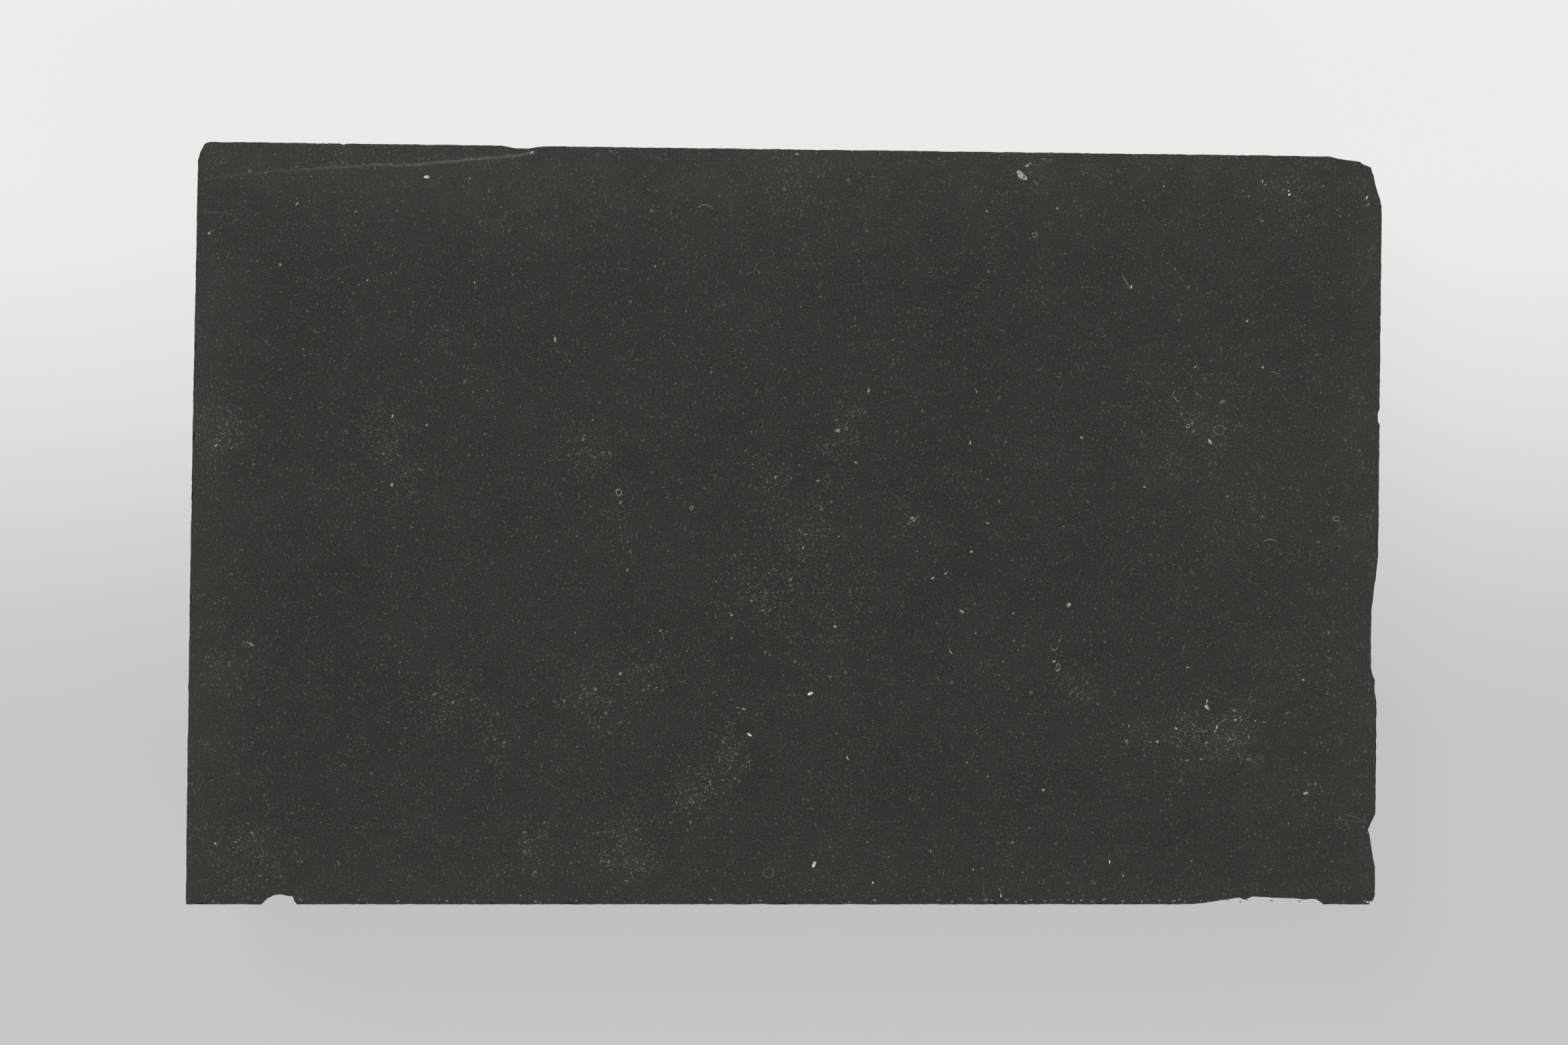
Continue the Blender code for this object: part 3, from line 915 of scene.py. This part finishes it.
def minerals():
    # Zeolite that filled small gas pores: opaque white, so these are the brightest marks.
    inlay("zeolite_fillings", [grain(*facts) for facts in WHITE_GRAINS],
          mineral("zeolite", "cecbc4", "9a978f"))
    # Feldspar crystals, yellowed by weathering.
    inlay("feldspar_crystals", [grain(*facts) for facts in CREAM_GRAINS],
          mineral("yellowed_feldspar", "aba292", "7a7366"))
    # Smaller feldspar, clear enough for the dark stone under it to grey it.
    inlay("small_crystals", [grain(*facts) for facts in GREY_GRAINS],
          mineral("clear_feldspar", "95928a", "625f59"))
    # Chalcedony: the thin grey skin that lines a pore before anything fills it.
    inlay("pore_linings", [lined_pore(*facts) for facts in LINED_PORES],
          mineral("chalcedony_lining", "86837b", "55534d"))
    # The same in hairline cracks: thin enough to look as grey as the stone lets through.
    inlay("veinlets", [veinlet(*facts) for facts in VEINLETS],
          mineral("chalcedony_veinlet", "7d7b74", "56544e"))
    # Veinlets that lie a little below the face, so they barely show.
    inlay("faint_veinlets", [veinlet(*facts) for facts in FAINT_VEINLETS],
          mineral("deep_veinlet", "565550", "403f3a"))
    # Crushed basalt is paler than whole basalt, as its broken grains scatter the light.
    inlay("arris_bruises", arris_bruises(), mineral("crushed_basalt", "7d7a70", "5c5a52"))


# ---------------------------------------------------------------- the table, light and camera

FRAME_WIDTH = 203.2 * MM
CAMERA_HEIGHT = 300.0 * MM
SENSOR_WIDTH = 36.0

TABLE_SIZE = 20.0
TABLE_DROP = 0.0001
# The table glows light grey up to the first Y, in millimetres, and nearly white past the second.
GLOW_LIMITS = (-33.0, 49.0)
# Far off, the same two shades meet in a much narrower band of directions.
HORIZON_LIMITS = (-0.004, 0.005)
# Each softbox: place in metres, size in metres and power in watts. It faces the slab.
SOFTBOXES = {
    "softbox_back": ((-1.0, 1.5, 1.9), 1.8, 70.0),
    "softbox_front": ((1.5, -1.5, 1.6), 2.0, 30.0),
}
ROOM_LIGHT = 0.3


def front_to_back(tree, place, limits, front, back):
    """A soft step from the front colour to the back one, between two limits of Y."""
    split = add(tree, "ShaderNodeSeparateXYZ", {"Vector": place})
    up = add(tree, "ShaderNodeMapRange",
             {"Value": split.outputs["Y"], "From Min": limits[0], "From Max": limits[1]},
             interpolation_type="SMOOTHSTEP")
    return layered(tree, srgb(front), srgb(back), up.outputs["Result"])


def table():
    """Matt pale paper: no gloss, and only a trace of a shadow, as most of its light is its glow."""
    bpy.ops.mesh.primitive_plane_add(size=TABLE_SIZE, location=(0.0, 0.0, -TABLE_DROP))
    floor = bpy.context.object
    floor.name = "pale_table"
    material, tree, shader = new_material("pale_paper")
    shade = front_to_back(tree, in_millimetres(tree), GLOW_LIMITS, "bfbdbb", "e4e4e4")
    glow = add(tree, "ShaderNodeEmission", {"Color": shade, "Strength": 1.0})
    shader.inputs["Base Color"].default_value = srgb("424242")
    shader.inputs["Roughness"].default_value = 1.0
    shader.inputs["Specular IOR Level"].default_value = 0.0
    both = add(tree, "ShaderNodeAddShader",
               {0: shader.outputs["BSDF"], 1: glow.outputs["Emission"]})
    tree.links.new(both.outputs["Shader"], tree.nodes["Material Output"].inputs["Surface"])
    floor.data.materials.append(material)


def soft_light(name, place, size, power):
    light = bpy.data.lights.new(name, "AREA")
    light.shape = "SQUARE"
    light.size = size
    light.energy = power
    lamp = bpy.data.objects.new(name, light)
    lamp.location = place
    lamp.rotation_euler = (-Vector(place)).to_track_quat("-Z", "Y").to_euler()
    bpy.context.scene.collection.objects.link(lamp)


def camera():
    data = bpy.data.cameras.new("overhead")
    data.sensor_width = SENSOR_WIDTH
    data.lens = SENSOR_WIDTH * CAMERA_HEIGHT / FRAME_WIDTH
    data.clip_start = 0.01
    viewer = bpy.data.objects.new("overhead", data)
    viewer.location = (0.0, 0.0, TOP + CAMERA_HEIGHT)
    bpy.context.scene.collection.objects.link(viewer)
    bpy.context.scene.camera = viewer


def surroundings():
    """A dim even light from all round, which looks like the table carrying on to the horizon."""
    world = bpy.data.worlds.new("studio")
    world.use_nodes = True
    tree = world.node_tree
    dim = tree.nodes["Background"]
    dim.inputs["Color"].default_value = (1.0, 1.0, 1.0, 1.0)
    dim.inputs["Strength"].default_value = ROOM_LIGHT
    direction = add(tree, "ShaderNodeTexCoord").outputs["Generated"]
    shade = front_to_back(tree, direction, HORIZON_LIMITS, "c2c0be", "e6e6e6")
    seen = add(tree, "ShaderNodeBackground", {"Color": shade, "Strength": 1.0})
    looked_at = add(tree, "ShaderNodeLightPath").outputs["Is Camera Ray"]
    both = add(tree, "ShaderNodeMixShader",
               {0: looked_at, 1: dim.outputs["Background"], 2: seen.outputs["Background"]})
    tree.links.new(both.outputs["Shader"], tree.nodes["World Output"].inputs["Surface"])
    bpy.context.scene.world = world


def studio():
    table()
    for name, (place, size, power) in SOFTBOXES.items():
        soft_light(name, place, size, power)
    surroundings()
    bpy.context.scene.view_settings.view_transform = "Standard"
    camera()


stone_slab()
minerals()
studio()
